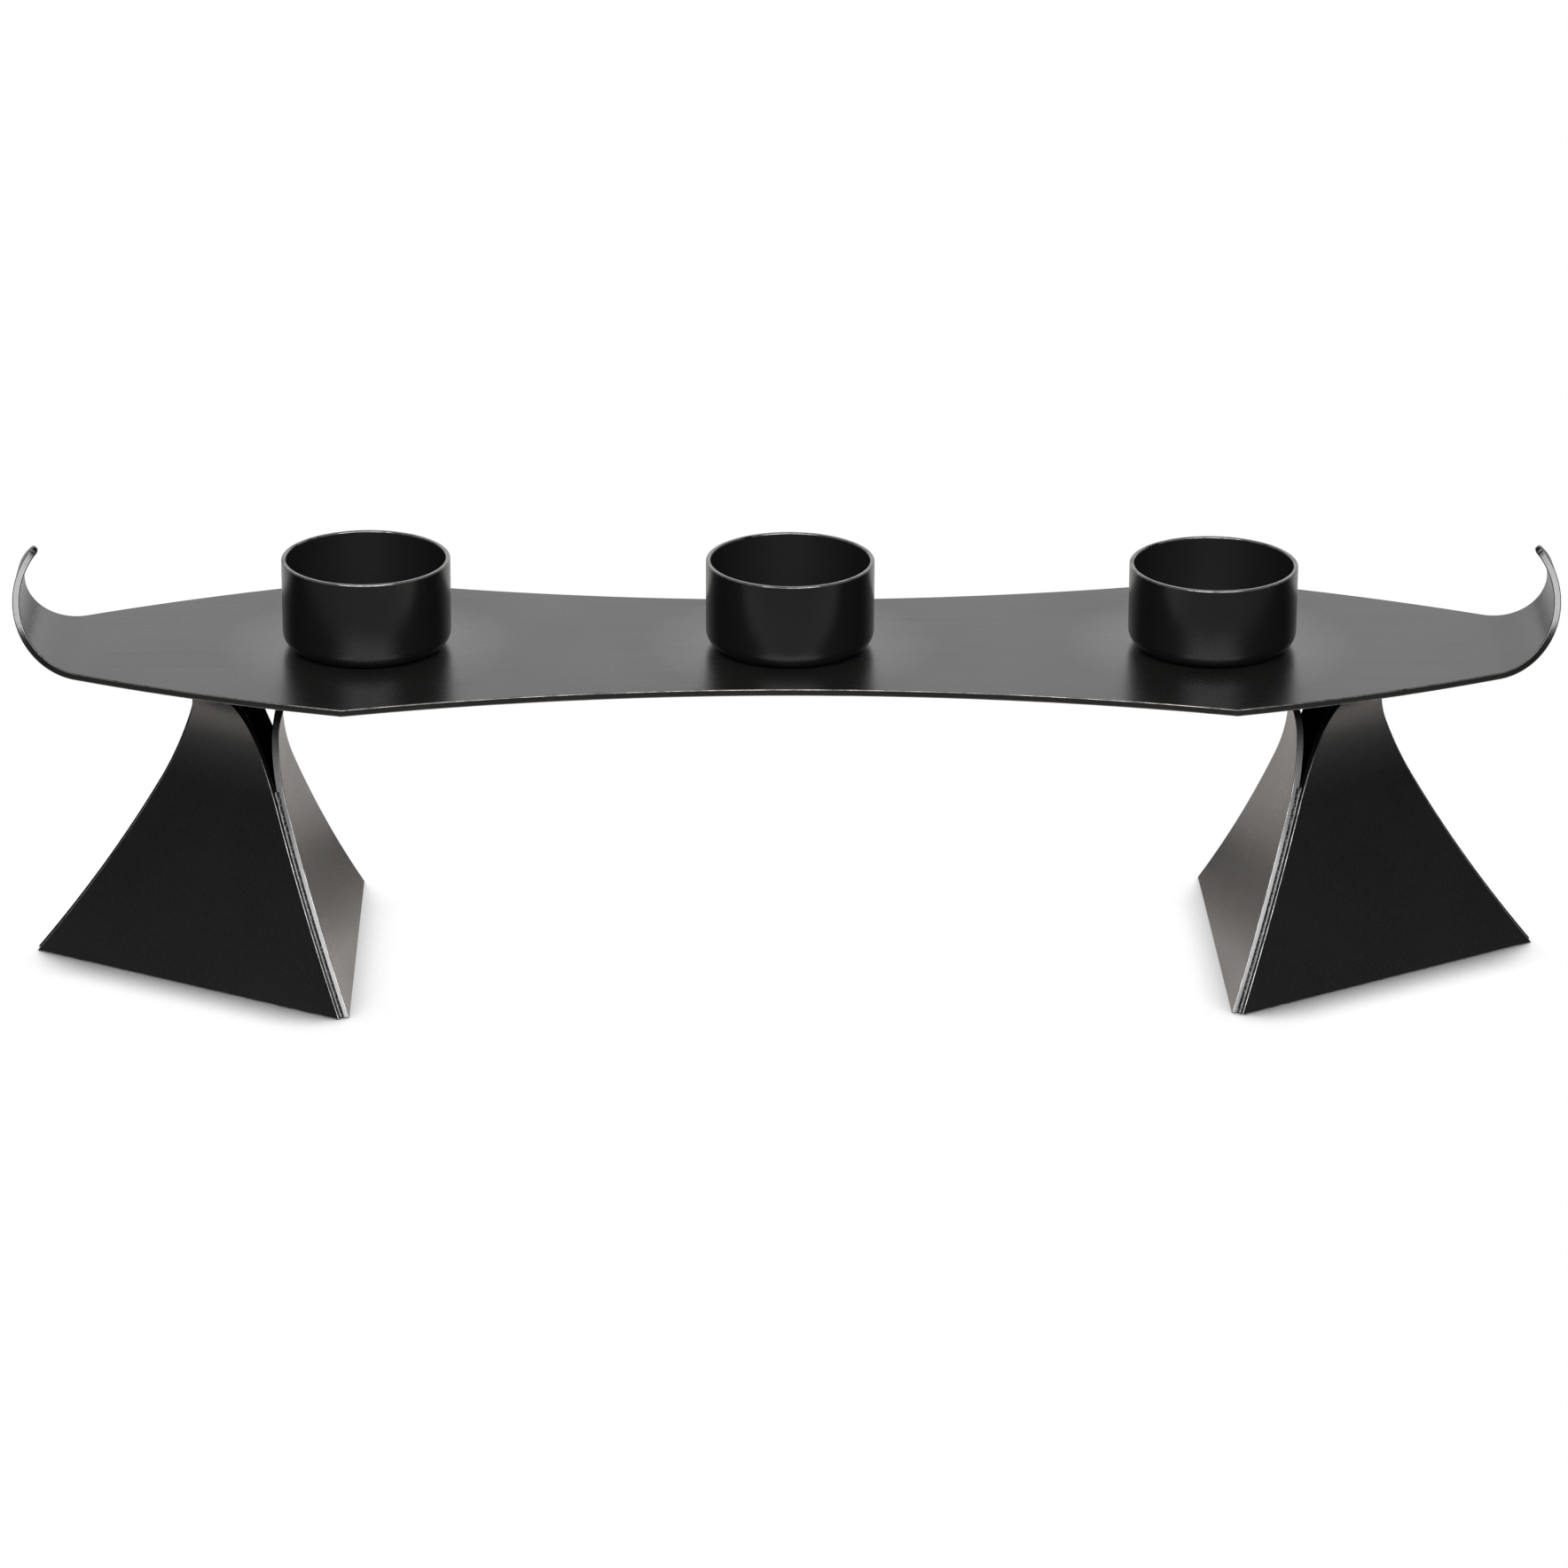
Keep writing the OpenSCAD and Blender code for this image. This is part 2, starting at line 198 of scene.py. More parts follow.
class FinishColours(bpy.types.PropertyGroup):
    """Colours of the finishes"""

    tray: colour("Tray", "Blackened tray plate", (0.0060, 0.0058, 0.0055))
    stand: colour("Stand", "Blackened stand plates", (0.0028, 0.0027, 0.0027))
    cup: colour("Cup", "Black cups", (0.0035, 0.0035, 0.0036))
    worn: colour("Worn", "Metal that shows where an arris is rubbed", (0.34, 0.33, 0.32))
    weld: colour("Weld", "Blackened weld metal", (0.003, 0.003, 0.003))
    screw: colour("Screw", "Black oxide on the screws", (0.02, 0.02, 0.021))
    floor: colour("Floor", "Warm floor close to the piece", (0.76, 0.705, 0.665))
    far_floor: colour("Far floor", "Pale floor away from the piece", (0.76, 0.76, 0.76))
    # Painted shade: a pool of floor in front is painted this dark for what the metal reflects
    shaded_floor: colour("Dim floor", "Dim pool of floor in front", (0.10, 0.10, 0.10))


class StageSettings(bpy.types.PropertyGroup):
    """Camera and lights"""

    lens: number("Lens", "Focal length in millimetres on a 36 mm sensor", 161.3)
    place: bpy.props.FloatVectorProperty(
        name="Place", description="Where the camera stands", default=(-0.0490, -2.9915, 1.2418),
        subtype="TRANSLATION", unit="LENGTH")
    yaw: angle("Yaw", "Camera turned to the right", 0.917)
    pitch: angle("Pitch", "Camera tilted down", 21.22)
    roll: angle("Roll", "Camera rolled", 0.286)
    key_power: number("Key light", "Power of the wide soft box above the viewer, in watts", 250.0)
    low_power: number("Low light", "Power of the dim box low in front, in watts", 38.0)
    top_power: number("Top light", "Power of the soft box overhead, in watts", 2.0)
    room: number("Room", "Strength of the dim room in front", 0.042)
    wall: number("Wall", "Strength of the pale wall behind", 1.08)
    contact: length("Contact shadow", "How far the shadow under an edge reaches", 0.032)


GROUPS = {
    "candelabra_tray": TraySizes,
    "candelabra_cups": CupSizes,
    "candelabra_stands": StandSizes,
    "candelabra_finish": FinishColours,
    "candelabra_stage": StageSettings,
}


# ---- Shader expressions ----


class Value:
    """A shader socket that takes part in Python expressions."""

    def __init__(self, net, socket):
        self.net = net
        self.socket = socket

    def _math(self, operation, a, b):
        return self.net.make("ShaderNodeMath", {"operation": operation}, {0: a, 1: b})

    def __add__(self, other):
        return self._math("ADD", self, other)

    __radd__ = __add__

    def __sub__(self, other):
        return self._math("SUBTRACT", self, other)

    def __rsub__(self, other):
        return self._math("SUBTRACT", other, self)

    def __mul__(self, other):
        return self._math("MULTIPLY", self, other)

    __rmul__ = __mul__

    def __pow__(self, other):
        return self._math("POWER", self, other)

    def clamped(self):
        """The value kept between 0 and 1."""
        return self.net.make("ShaderNodeClamp", {}, {"Value": self})


class Net:
    """The nodes of one material or of the world."""

    def __init__(self, owner):
        owner.use_nodes = True
        self.tree = owner.node_tree
        self.tree.nodes.clear()

    def make(self, kind, settings, inputs, out=0):
        """Adds a node with its settings, then feeds its sockets; gives the output asked for."""
        node = self.tree.nodes.new(kind)
        for key, value in settings.items():
            setattr(node, key, value)
        for key, value in inputs.items():
            socket = node.inputs[key]
            if isinstance(value, Value):
                self.tree.links.new(value.socket, socket)
            else:
                socket.default_value = value
        return Value(self, node.outputs[out]) if node.outputs else None

    def points(self):
        """Points in the piece's own space, in metres."""
        return self.make("ShaderNodeTexCoord", {}, {}, out="Object")

    def part(self, vector, axis):
        """One of a vector's three values."""
        return self.make("ShaderNodeSeparateXYZ", {}, {"Vector": vector}, out=axis)

    def marked(self, name):
        """1 where the mesh is marked with a name, and 0 elsewhere."""
        return self.make("ShaderNodeAttribute", {"attribute_name": name}, {}, out="Fac")

    def mixed(self, factor, low, high):
        """A colour between two colours."""
        return self.make("ShaderNodeMix", {"data_type": "RGBA", "clamp_factor": True},
                         {0: factor, 6: low, 7: high}, out=2)

    def stretched(self, point, scale):
        """A vector scaled along each axis."""
        return self.make("ShaderNodeVectorMath", {"operation": "MULTIPLY"}, {0: point, 1: scale})

    def speckle(self, point, scale, detail=3.0, roughness=0.5):
        """Noise between 0 and 1."""
        return self.make("ShaderNodeTexNoise", {},
                         {"Vector": point, "Scale": scale, "Detail": detail,
                          "Roughness": roughness})

    def ramp(self, value, low, high):
        """A value spread over 0 to 1 between two levels."""
        return self.make("ShaderNodeMapRange", {"clamp": True},
                         {"Value": value, "From Min": low, "From Max": high})

    def metal(self, sockets, depth, relief):
        """Ends a material in a Principled surface with a relief of some depth."""
        bump = self.make("ShaderNodeBump", {}, {"Distance": depth, "Height": relief})
        surface = self.make("ShaderNodeBsdfPrincipled", {}, {"Normal": bump, **sockets})
        self.make("ShaderNodeOutputMaterial", {}, {"Surface": surface})


def rgba(colour_value, factor=1.0):
    """A colour with alpha, dimmed by a factor."""
    return (*[channel * factor for channel in colour_value], 1.0)


def centre_of(node):
    """The middle of a CAD node's box."""
    low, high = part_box(node)
    return (low + high) / 2


def blackened_metal(name, base, worn, grain, roughness, sheen, polish, bare,
                    grain_share=1.0, waxed_around=()):
    """Blackened steel: patina clouds, fine brushing along the grain, and rubbed arrises.

    Cut edges are smoother by the polish, and their arrises show metal by the bare share, though
    not on the curls. Close under the tray the cut edges go rougher and metallic over their
    near-black base, painted shade standing in for the tray's dark underside that they reflect. A
    plate that is waxed around some points is brushed along its own blank.
    """
    net = Net(bpy.data.materials.new(name))
    solid = net.points()
    place = net.make("ShaderNodeUVMap", {"uv_map": "blank"}, {}) if waxed_around else solid
    brushing = net.speckle(net.stretched(place, grain), 1.0)
    coarse = net.speckle(net.stretched(place, [g * COARSER for g in grain]), 1.0, detail=2.0)
    clouds = net.speckle(solid, CLOUDS, detail=4.0, roughness=0.55)
    pits = net.ramp(net.speckle(solid, PITS, detail=2.0), *PIT_LEVELS)
    edge, cut = net.marked("edge"), net.marked("cut")
    height = net.part(solid, "Z")
    # Painted shade: just under the tray the cut edges go rougher and metallic over their near-black
    # base, for the dark tray underside they reflect
    tray_shade = net.ramp(height, *TRAY_SHADE_STARTS) * (1.0 - net.ramp(height, *TRAY_SHADE_ENDS))
    touched = edge * (1.0 - net.ramp(height, *RUB_ENDS)) * (1.0 - tray_shade)
    rub = touched * net.ramp(net.speckle(solid, RUBBING), *RUB_LEVELS)
    tone = (0.55 * clouds + 0.30 * brushing + 0.25 * coarse - 0.05).clamped()
    body = net.mixed(tone, rgba(base, 0.72), rgba(base, 1.30))
    gloss = (roughness + 0.16 * grain_share * (brushing - 0.5) + 0.10 * (clouds - 0.5)
             + 0.05 * grain_share * pits + (0.2 * tray_shade - polish) * cut).clamped()
    wax = 0.0
    for centre in waxed_around:
        off = net.make("ShaderNodeVectorMath", {"operation": "DISTANCE"},
                       {0: place, 1: (centre.x, centre.y, 0.0)}, out="Value")
        wax = wax + WAX * (1.0 - net.ramp(off, *WAX_ENDS))
    relief = (brushing * 0.7 + coarse * 0.5 - pits * 0.6) * (1.0 - 0.95 * cut)
    # Metallic on cut edges under the tray is painted shade; on rubbed arrises it is worn metal
    net.metal({"Base Color": net.mixed(rub * RUB_TINT, body, rgba(worn)), "Roughness": gloss,
               "Metallic": (rub * bare + tray_shade * cut).clamped(), "Specular IOR Level": sheen,
               "Coat Weight": wax, "Coat Roughness": WAX_ROUGHNESS},
              GRAIN_DEPTH * grain_share, relief)


def turned_black(name, base, worn, roughness, sheen):
    """Satin black on a turned cup: rings too fine to count, a faint cloud and a rubbed rim."""
    net = Net(bpy.data.materials.new(name))
    solid = net.points()
    rings = net.speckle(net.stretched(solid, CUP_RINGS), 1.0)
    clouds = net.speckle(solid, CUP_CLOUDS, detail=4.0)
    grit = net.speckle(solid, CUP_GRIT, detail=2.0)
    edge, inside = net.marked("edge"), net.marked("inside")
    rub = (edge * net.ramp(net.speckle(solid, CUP_RUBBING), *CUP_RUB_LEVELS)).clamped()
    outside = net.mixed(clouds, rgba(base, 0.75), rgba(base, 1.3))
    # Painted light: the insides get a lighter copy of the black than the outsides
    body = net.mixed(inside, outside, rgba(base, 1.4))
    gloss = (roughness + 0.1 * inside - 0.14 * edge + 0.08 * (rings - 0.5) + 0.10 * (clouds - 0.5)
             + 0.05 * (grit - 0.5)).clamped()
    net.metal({"Base Color": net.mixed(rub * RUB_TINT, body, rgba(worn)), "Roughness": gloss,
               "Metallic": rub * BARE, "Specular IOR Level": sheen},
              CUP_DEPTH, rings * 0.6 + grit * 0.8)


def weld_metal(name, base, worn, sheen):
    """Weld metal under black: lumps, soot and bright specks."""
    net = Net(bpy.data.materials.new(name))
    solid = net.points()
    lumps = net.speckle(solid, WELD_SOOT, roughness=0.6)
    specks = net.ramp(net.speckle(solid, WELD_SPECKS, detail=2.0), *SPECK_LEVELS)
    shade = net.mixed(specks * 0.25, rgba(base, 0.6), rgba(worn))
    gloss = (0.20 + 0.16 * lumps - 0.06 * specks).clamped()
    net.metal({"Base Color": shade, "Roughness": gloss, "Specular IOR Level": sheen},
              WELD_DEPTH, lumps)


def finishes():
    """The materials by name, made once."""
    tones = bpy.context.scene.candelabra_finish
    if "tray_black" not in bpy.data.materials:
        blackened_metal("tray_black", tones.tray, tones.worn, TRAY_GRAIN, roughness=0.28,
                        sheen=0.65, polish=0.07, bare=BARE,
                        waxed_around=[centre_of(cup) for cup in CUPS])
        blackened_metal("stand_black", tones.stand, tones.worn, STAND_GRAIN, roughness=0.28,
                        sheen=0.75, polish=0.13, bare=STAND_BARE, grain_share=0.4)
        turned_black("cup_black", tones.cup, tones.worn, roughness=0.25, sheen=0.6)
        turned_black("screw_black", tones.screw, tones.worn, roughness=0.35, sheen=0.5)
        weld_metal("weld_black", tones.weld, tones.worn, sheen=0.45)
    return bpy.data.materials


# ---- Mesh helpers ----


def spread(start, stop, steps):
    """Even steps after the start, up to and with the stop."""
    return [start + (stop - start) * i / steps for i in range(1, steps + 1)]


def middle_of(edge):
    """The point halfway along an edge."""
    return (edge.verts[0].co + edge.verts[1].co) / 2


def is_strip(face, arrises, width):
    """Whether a face lies between two near arrises, or is a triangle on one with its tip near."""
    if len(arrises) == 1 and len(face.verts) == 3:
        a, b = (v.co for v in arrises[0].verts)
        tip = max((v.co - a).cross(b - a).length for v in face.verts) / (b - a).length
        return tip < width
    middles = [middle_of(e) for e in arrises]
    return any((a - b).length < width for a in middles for b in middles if a is not b)


def mark(faces, *layers):
    """Writes 1 into some layers at the corners of some faces."""
    for face in faces:
        for loop in face.loops:
            for layer in layers:
                loop[layer] = 1.0


def eased(bm, radius):
    """Rounds every arris and marks the new faces as edge and cut.

    The strips between arrises no further apart than a cut is wide are marked as cut too.
    """
    arrises = [e for e in bm.edges if e.is_manifold and e.calc_face_angle(0.0) > ARRIS_TURN]
    sharp = set(arrises)
    cut = bm.loops.layers.float.new("cut")
    mark([face for face in bm.faces
          if is_strip(face, [e for e in face.edges if e in sharp], CUT_WIDTH)], cut)
    made = bmesh.ops.bevel(bm, geom=arrises, offset=radius, offset_type="OFFSET",
                           segments=EASE_STEPS, profile=0.5, affect="EDGES",
                           clamp_overlap=False, material=-1)
    mark(made["faces"], bm.loops.layers.float.new("edge"), cut)


def finished(bm, name, nodes, material, weighted=True):
    """Turns a bmesh into a piece that stands for CAD nodes and rides on the root body."""
    mesh = bpy.data.meshes.new(name)
    for face in bm.faces:
        face.smooth = True
    bm.to_mesh(mesh)
    bm.free()
    mesh.set_sharp_from_angle(angle=SMOOTH_TURN)
    mesh.materials.append(finishes()[material])
    piece = bpy.data.objects.new(name, mesh)
    bpy.context.scene.collection.objects.link(piece)
    if weighted:
        weights = piece.modifiers.new("flats stay flat", "WEIGHTED_NORMAL")
        weights.keep_sharp = True
    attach(piece, "root")
    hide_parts(*nodes)
    return piece


def merged_copy(node):
    """A CAD node's surface with its loose triangles joined and its flats made whole."""
    bm = bmesh.new()
    bm.from_mesh(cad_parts[node].data)
    bmesh.ops.remove_doubles(bm, verts=bm.verts, dist=MERGE)
    bmesh.ops.dissolve_limit(bm, angle_limit=FLAT_TURN, verts=bm.verts, edges=bm.edges,
                             use_dissolve_boundaries=False, delimit=set())
    return bm


# ---- The tray ----


def along_blank(sizes):
    """Half-width of the tray's blank at a distance from its middle, as a function.

    With it come the distances of the corner, the bend line and the tip's centre, and the radius
    of the tip.
    """
    corner = Vector((sizes.corner_span / 2, sizes.corner_width / 2))
    tip_r = sizes.tip_width / 2
    bend = sizes.bend_span / 2
    end = bend + (sizes.curl_radius + sizes.thickness / 2) * sizes.curl_sweep
    tip = Vector((end - tip_r, tip_r))
    chord = tip - corner
    taper_r = ((chord.length / 2) ** 2 + sizes.edge_bow ** 2) / (2 * sizes.edge_bow)
    inwards = Vector((chord.y, -chord.x)) / chord.length
    centre = (corner + tip) / 2 + inwards * (taper_r - sizes.edge_bow)
    rise = (sizes.corner_width - sizes.waist) / 2
    waist_r = (corner.x ** 2 + rise ** 2) / (2 * rise)

    def half(s):
        if s < corner.x:
            return sizes.waist / 2 + waist_r - math.sqrt(waist_r ** 2 - s ** 2)
        if s < tip.x:
            return centre.y + math.sqrt(taper_r ** 2 - (s - centre.x) ** 2)
        return math.sqrt(max(tip_r ** 2 - (s - tip.x) ** 2, TIP_LEAST ** 2))

    return half, corner.x, bend, tip.x, tip_r


class CANDELABRA_OT_tray(bpy.types.Operator):
    """Cut the tray's blank, ease its arrises and curl its ends"""

    bl_idname = "candelabra.tray"
    bl_label = "Tray"

    def execute(self, context):
        sizes = context.scene.candelabra_tray
        half, corner_s, bend_s, tip_s, tip_r = along_blank(sizes)
        right = (spread(0.0, corner_s, TO_CORNER) + spread(corner_s, bend_s, TO_BEND)
                 + spread(bend_s, tip_s, TO_TIP)
                 + [tip_s + tip_r * math.sin(turn) for turn in spread(0.0, TIP_ARC, ROUND_TIP)])
        stations = [-s for s in reversed(right)] + [0.0] + right
        steps = len(stations) - 1
        bm = bmesh.new()
        bmesh.ops.create_grid(bm, x_segments=steps, y_segments=ACROSS, size=0.5)
        for vert in bm.verts:
            s = stations[round((vert.co.x + 0.5) * steps)]
            vert.co = Vector((s, 2 * vert.co.y * half(abs(s)), TRAY_LOW.z + sizes.thickness))
        bmesh.ops.solidify(bm, geom=bm.faces[:], thickness=sizes.thickness)
        bmesh.ops.recalc_face_normals(bm, faces=bm.faces)
        eased(bm, sizes.ease)
        self.lay_out(bm)
        self.round_tips(bm, sizes, tip_s + tip_r)
        self.curl(bm, sizes, bend_s)
        piece = finished(bm, "tray_plate", ["tray"], "tray_black")
        self.compare(piece)
        return {"FINISHED"}

    def lay_out(self, bm):
        """Keeps each point's place on the flat blank, for the brushing that follows the metal."""
        layer = bm.loops.layers.uv.new("blank")
        for face in bm.faces:
            for loop in face.loops:
                loop[layer].uv = loop.vert.co.xy

    def round_tips(self, bm, sizes, end):
        """Thins the last of each tip to a round nose."""
        nose = sizes.thickness / 2
        middle = TRAY_LOW.z + nose
        for vert in bm.verts:
            into = (abs(vert.co.x) - (end - nose)) / nose
            if into > 0.0:
                share = math.sqrt(max(1.0 - into ** 2, NOSE_LEAST ** 2))
                vert.co.z = middle + (vert.co.z - middle) * share

    def curl(self, bm, sizes, bend):
        """Rolls what lies past the bend lines about the curl's axis."""
        top = TRAY_LOW.z + sizes.thickness
        for vert in bm.verts:
            past = abs(vert.co.x) - bend
            if past > 0.0:
                turn = past / (sizes.curl_radius + sizes.thickness / 2)
                reach = sizes.curl_radius + top - vert.co.z
                vert.co.x = math.copysign(bend + reach * math.sin(turn), vert.co.x)
                vert.co.z = top + sizes.curl_radius - reach * math.cos(turn)

    def compare(self, piece):
        """Stops if the piece and the CAD tray differ in size."""
        points = [v.co for v in piece.data.vertices]
        for axis in range(3):
            low = min(p[axis] for p in points) - TRAY_LOW[axis]
            high = max(p[axis] for p in points) - TRAY_HIGH[axis]
            if max(abs(low), abs(high)) > TRAY_SLACK:
                raise RuntimeError(f"tray piece is off along axis {axis}: {low:.5f} {high:.5f}")


# ---- The cups and their screws ----


class CANDELABRA_OT_cups(bpy.types.Operator):
    """Turn the three cups and finish their screws"""

    bl_idname = "candelabra.cups"
    bl_label = "Cups"

    def execute(self, context):
        sizes = context.scene.candelabra_cups
        for node in CUPS:
            self.turn(sizes, node)
        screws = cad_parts["cup_screws"]
        screws.data.materials.clear()
        screws.data.materials.append(finishes()["screw_black"])
        return {"FINISHED"}

    def turn(self, sizes, node):
        """One cup: its half section, corners rounded, spun about its axis."""
        low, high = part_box(node)
        outer = (high.x - low.x) / 2
        inner = outer - sizes.wall
        bottom = low.z + sizes.base
        section = [(0.0, low.z, 0.0, 0), (outer, low.z, sizes.foot_radius, ROUND_STEPS),
                   (outer, high.z, sizes.rim_ease, RIM_STEPS),
                   (inner, high.z, sizes.rim_ease, RIM_STEPS),
                   (inner, bottom, sizes.root_radius, ROUND_STEPS), (0.0, bottom, 0.0, 0)]
        bm = bmesh.new()
        verts = [bm.verts.new((x, 0.0, z)) for x, z, _, _ in section]
        for a, b in zip(verts, verts[1:]):
            bm.edges.new((a, b))
        for vert, (_, _, radius, steps) in zip(verts, section):
            if steps:
                bmesh.ops.bevel(bm, geom=[vert], offset=radius, offset_type="OFFSET",
                                segments=steps, profile=0.5, affect="VERTICES",
                                clamp_overlap=False, material=-1)
        bmesh.ops.spin(bm, geom=bm.verts[:] + bm.edges[:], cent=(0, 0, 0), axis=(0, 0, 1),
                       dvec=(0, 0, 0), angle=2 * math.pi, steps=CUP_STEPS, use_merge=True,
                       use_normal_flip=False, use_duplicate=False)
        bmesh.ops.remove_doubles(bm, verts=bm.verts, dist=MERGE)
        bmesh.ops.recalc_face_normals(bm, faces=bm.faces)
        self.mark_rim_and_inside(bm, sizes, bottom, high.z, inner)
        middle = centre_of(node)
        bmesh.ops.translate(bm, verts=bm.verts, vec=(middle.x, middle.y, 0.0))
        finished(bm, node + "_turned", [node], "cup_black")

    def mark_rim_and_inside(self, bm, sizes, bottom, top, inner):
        """Marks the rim as edge, and what lies within the wall as inside."""
        rim, inside = [], []
        for face in bm.faces:
            centre = face.calc_center_median()
            if centre.z > top - sizes.rim_ease:
                rim.append(face)
            elif centre.z > bottom - MERGE and centre.xy.length < inner + MERGE:
                inside.append(face)
        mark(rim, bm.loops.layers.float.new("edge"))
        mark(inside, bm.loops.layers.float.new("inside"))


# ---- The stands ----


class CANDELABRA_OT_plates(bpy.types.Operator):
    """Ease the arrises of the stands' rolled plates"""

    bl_idname = "candelabra.plates"
    bl_label = "Stand plates"

    def execute(self, context):
        sizes = context.scene.candelabra_stands
        for side in SIDES:
            for plate in PLATES:
                node = f"{side}_stand_{plate}_plate"
                bm = merged_copy(node)
                eased(bm, sizes.ease)
                finished(bm, f"{side}_{plate}_plate", [node], "stand_black")
        return {"FINISHED"}


class CANDELABRA_OT_welds(bpy.types.Operator):
    """Lay the lumpy weld beads in the grooves and around the toes"""

    bl_idname = "candelabra.welds"
    bl_label = "Welds"

    def execute(self, context):
        sizes = context.scene.candelabra_stands
        noise.seed_set(WELD_SEED)
        for side in SIDES:
            for corner in CORNERS:
                self.bead(sizes, f"{side}_stand_{corner}_weld", f"{side}_{corner}_weld", True)
            for plate in PLATES:
                self.bead(sizes, f"{side}_stand_{plate}_toe_weld", f"{side}_{plate}_toe_weld",
                          False)
        return {"FINISHED"}

    def bead(self, sizes, node, name, upright):
        """Cuts a CAD bead into short lengths and lets its surface stray above the dressing."""
        bm = merged_copy(node)
        low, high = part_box(node)
        if upright:
            for height in spread(low.z, high.z, int((high.z - low.z) / sizes.weld_pitch))[:-1]:
                bmesh.ops.bisect_plane(
                    bm, geom=bm.verts[:] + bm.edges[:] + bm.faces[:], dist=MERGE,
                    plane_co=(0, 0, height), plane_no=(0, 0, 1))
        else:
            bmesh.ops.subdivide_edges(bm, edges=bm.edges[:], cuts=1, use_grid_fill=True)
        for vert in bm.verts:
            if low.z + MERGE < vert.co.z < high.z - MERGE:
                above = (vert.co.z - sizes.weld_dressed) / WELD_FADE
                vert.co += min(max(above, DRESSED_SHARE), 1.0) * sizes.weld_lump * (
                    noise.noise_vector(vert.co * LUMPS)
                    + FINE_SHARE * noise.noise_vector(vert.co * FINE_LUMPS))
        finished(bm, name, [node], "weld_black", weighted=False)


# ---- The stage ----


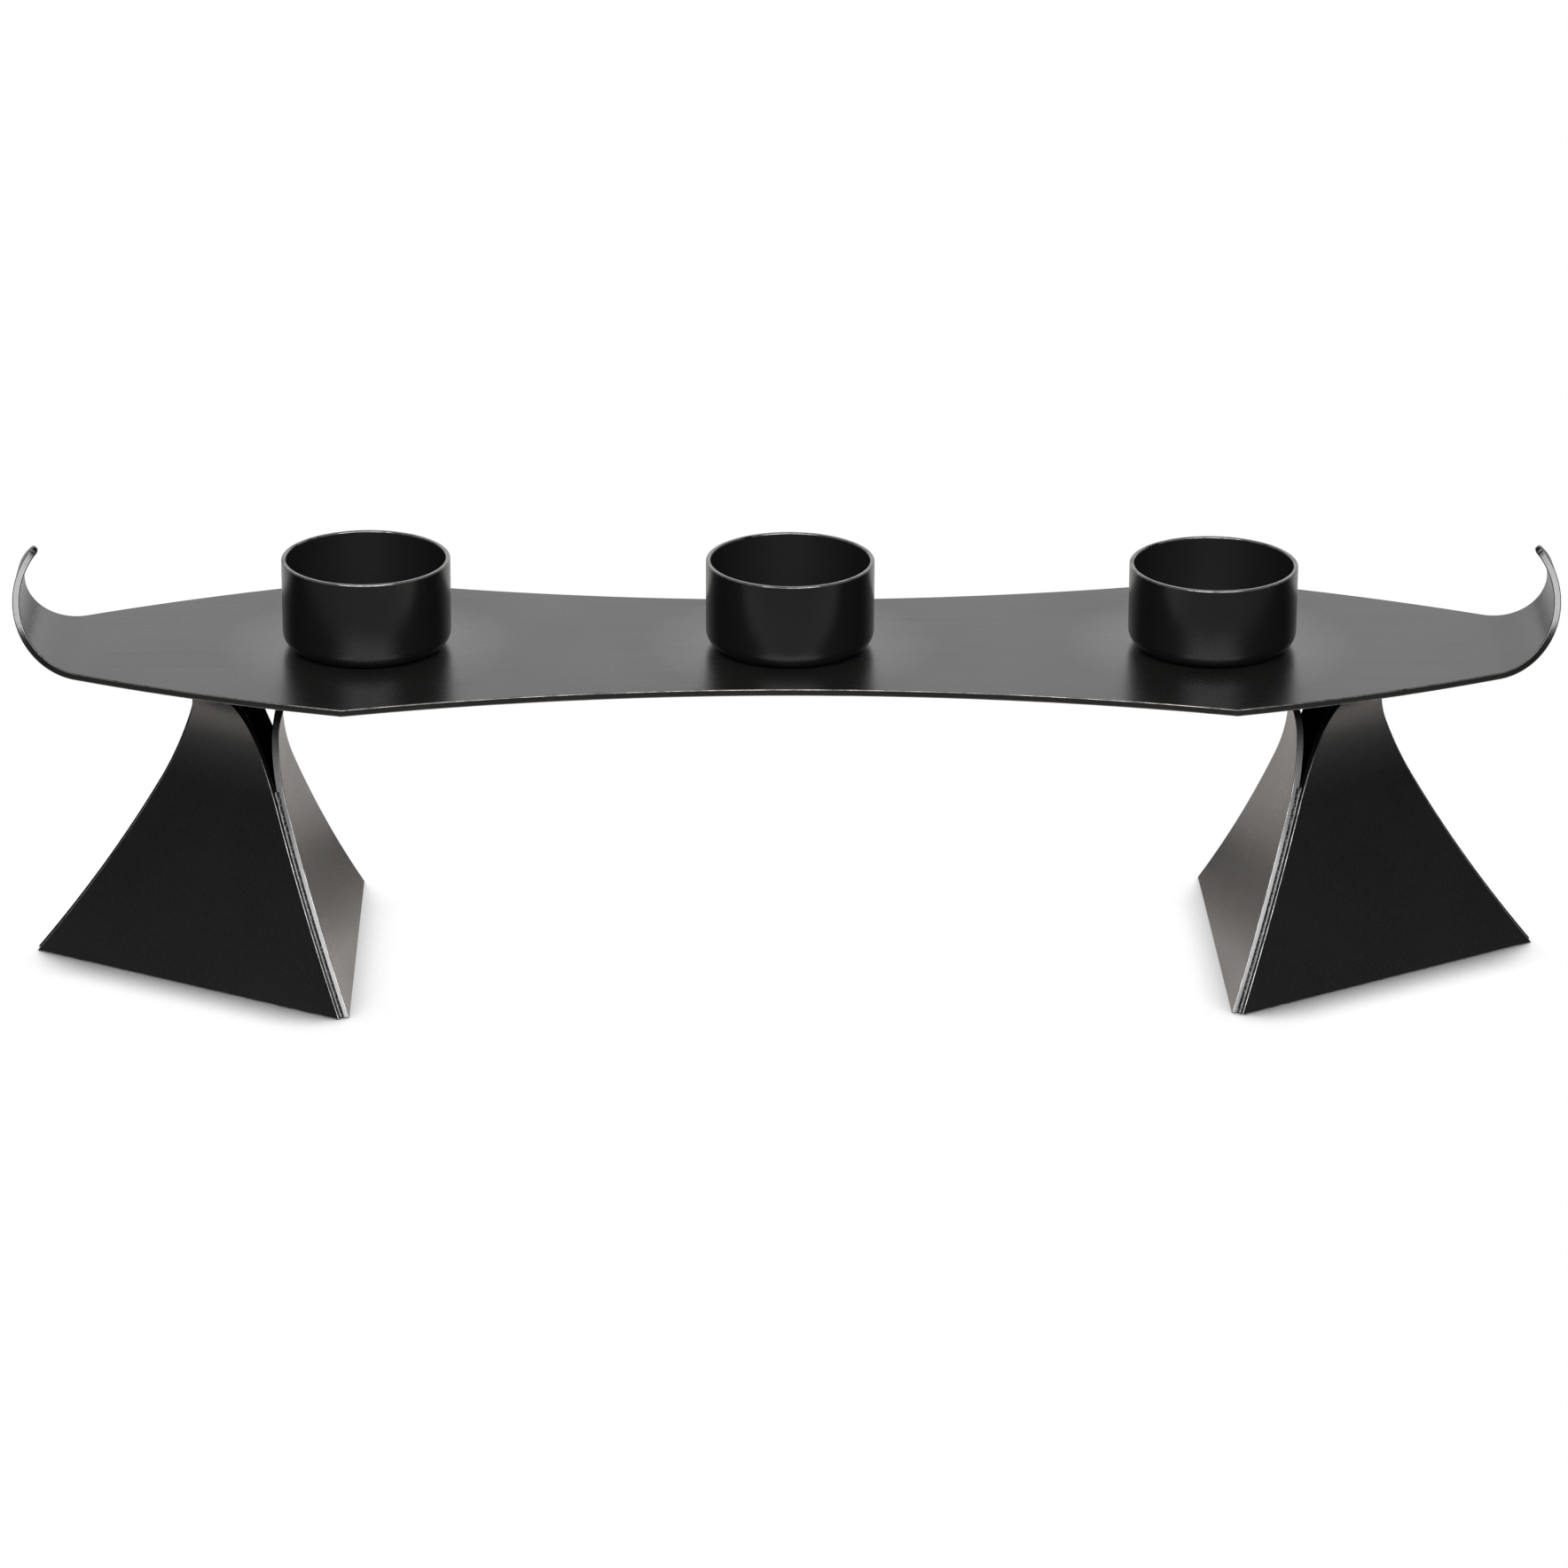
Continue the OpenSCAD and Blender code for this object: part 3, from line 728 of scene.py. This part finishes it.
class CANDELABRA_OT_stage(bpy.types.Operator):
    """Lay the pale floor, set the lights and place the camera"""

    bl_idname = "candelabra.stage"
    bl_label = "Stage"

    def execute(self, context):
        settings = context.scene.candelabra_stage
        self.floor(context, settings)
        for name, (power, place, size) in LAMPS.items():
            self.lamp(context, name, getattr(settings, power), place, size)
        self.world(context, settings)
        self.camera(context, settings)
        context.scene.view_settings.view_transform = "Standard"
        return {"FINISHED"}

    def floor(self, context, settings):
        """A wide round floor, clear from below."""
        bm = bmesh.new()
        bmesh.ops.create_circle(bm, cap_ends=True, segments=FLOOR_STEPS, radius=FLOOR_RADIUS)
        mesh = bpy.data.meshes.new("floor")
        bm.to_mesh(mesh)
        bm.free()
        mesh.materials.append(self.floor_paint(context.scene.candelabra_finish, settings))
        floor = bpy.data.objects.new("floor", mesh)
        context.scene.collection.objects.link(floor)

    def floor_paint(self, tones, settings):
        """White to the camera but for the shadow close to what stands on it.

        The metal sees a warm floor close by, pale further off, and a pool of painted shade in
        front.
        """
        material = bpy.data.materials.new("floor_white")
        net = Net(material)
        solid = net.points()
        depth = net.part(solid, "Y")
        side = net.make("ShaderNodeMath", {"operation": "ABSOLUTE"}, {0: net.part(solid, "X")})
        # Painted shade: the floor is painted dark in a pool in front, seen only in the metal's
        # reflections
        pool = ((1.0 - net.ramp(side - SHADE_POOL_SLANT * depth, *SHADE_POOL_SIDES))
                * net.ramp(depth, *SHADE_POOL_DEPTH))
        off = net.make("ShaderNodeVectorMath", {"operation": "LENGTH"}, {0: solid}, out="Value")
        tone = net.mixed(net.ramp(off, *PAINT_ENDS), rgba(tones.floor), rgba(tones.far_floor))
        shade = net.mixed(pool, rgba(tones.shaded_floor), tone)
        matt = net.make("ShaderNodeBsdfDiffuse", {}, {"Color": shade})
        lean = net.make("ShaderNodeCombineXYZ", {}, LEAN)
        open_sky = net.make("ShaderNodeAmbientOcclusion", {"samples": SHADE_SAMPLES},
                            {"Distance": settings.contact, "Normal": lean}, out="AO")
        clear = net.ramp(open_sky, *SHADE_LEVELS) ** SHADE_POWER
        glow = net.make("ShaderNodeEmission", {}, {"Color": WHITE, "Strength": clear})
        seen = net.make("ShaderNodeLightPath", {}, {}, out="Is Camera Ray")
        above = net.make("ShaderNodeMixShader", {}, {0: seen, 1: matt, 2: glow})
        below = net.make("ShaderNodeNewGeometry", {}, {}, out="Backfacing")
        nothing = net.make("ShaderNodeBsdfTransparent", {}, {})
        shown = net.make("ShaderNodeMixShader", {}, {0: below, 1: above, 2: nothing})
        net.make("ShaderNodeOutputMaterial", {}, {"Surface": shown})
        return material

    def lamp(self, context, name, power, place, size):
        """A rectangular soft box that looks at the aim."""
        data = bpy.data.lights.new(name, "AREA")
        data.shape = "RECTANGLE"
        data.size, data.size_y = size
        data.energy = power
        lamp = bpy.data.objects.new(name, data)
        context.scene.collection.objects.link(lamp)
        lamp.location = place
        lamp.rotation_euler = (AIM - place).to_track_quat("-Z", "Y").to_euler()

    def world(self, context, settings):
        """A dim room with a pale wall behind; the camera sees white."""
        world = bpy.data.worlds.new("studio")
        context.scene.world = world
        net = Net(world)
        way = net.make("ShaderNodeTexCoord", {}, {}, out="Generated")
        wall = (net.ramp(net.part(way, "Y"), *WALL_STARTS)
                * (1.0 - net.ramp(net.part(way, "Z"), *WALL_TOP)))
        level = settings.room + wall * settings.wall
        seen = net.make("ShaderNodeLightPath", {}, {}, out="Is Camera Ray")
        strength = level * (1.0 - seen) + seen
        back = net.make("ShaderNodeBackground", {}, {"Color": WHITE, "Strength": strength})
        net.make("ShaderNodeOutputWorld", {}, {"Surface": back})

    def camera(self, context, settings):
        """Looks from the front and above, as one sees a table piece."""
        yaw, pitch, roll = settings.yaw, settings.pitch, settings.roll
        ahead = Vector((math.sin(yaw) * math.cos(pitch), math.cos(yaw) * math.cos(pitch),
                        -math.sin(pitch)))
        level = Vector((math.cos(yaw), -math.sin(yaw), 0.0))
        rise = level.cross(ahead)
        right = math.cos(roll) * level + math.sin(roll) * rise
        up = math.cos(roll) * rise - math.sin(roll) * level
        turn = Matrix((right, up, -ahead)).transposed().to_4x4()
        data = bpy.data.cameras.new("camera")
        data.sensor_width = SENSOR_WIDTH
        data.lens = settings.lens
        data.clip_end = SIGHT
        camera = bpy.data.objects.new("camera", data)
        context.scene.collection.objects.link(camera)
        camera.matrix_world = Matrix.Translation(settings.place) @ turn
        context.scene.camera = camera


OPERATORS = (CANDELABRA_OT_stage, CANDELABRA_OT_tray, CANDELABRA_OT_cups, CANDELABRA_OT_plates,
             CANDELABRA_OT_welds)


class CANDELABRA_PT_panel(bpy.types.Panel):
    """Lists the candelabra's parts"""

    bl_idname = "CANDELABRA_PT_panel"
    bl_label = "Candelabra"
    bl_space_type = "VIEW_3D"
    bl_region_type = "UI"
    bl_category = "Candelabra"

    def draw(self, context):
        for operator in OPERATORS:
            self.layout.operator(operator.bl_idname)
        for name, group in GROUPS.items():
            box = self.layout.box()
            box.label(text=group.__doc__)
            for key in group.__annotations__:
                box.prop(getattr(context.scene, name), key)


def register():
    for cls in (*GROUPS.values(), *OPERATORS, CANDELABRA_PT_panel):
        bpy.utils.register_class(cls)
    for name, group in GROUPS.items():
        setattr(bpy.types.Scene, name, bpy.props.PointerProperty(type=group))


def unregister():
    for name in GROUPS:
        delattr(bpy.types.Scene, name)
    for cls in reversed((*GROUPS.values(), *OPERATORS, CANDELABRA_PT_panel)):
        bpy.utils.unregister_class(cls)


def main():
    register()
    bpy.ops.candelabra.stage()
    bpy.ops.candelabra.tray()
    bpy.ops.candelabra.cups()
    bpy.ops.candelabra.plates()
    bpy.ops.candelabra.welds()


if __name__ == "__main__":
    main()
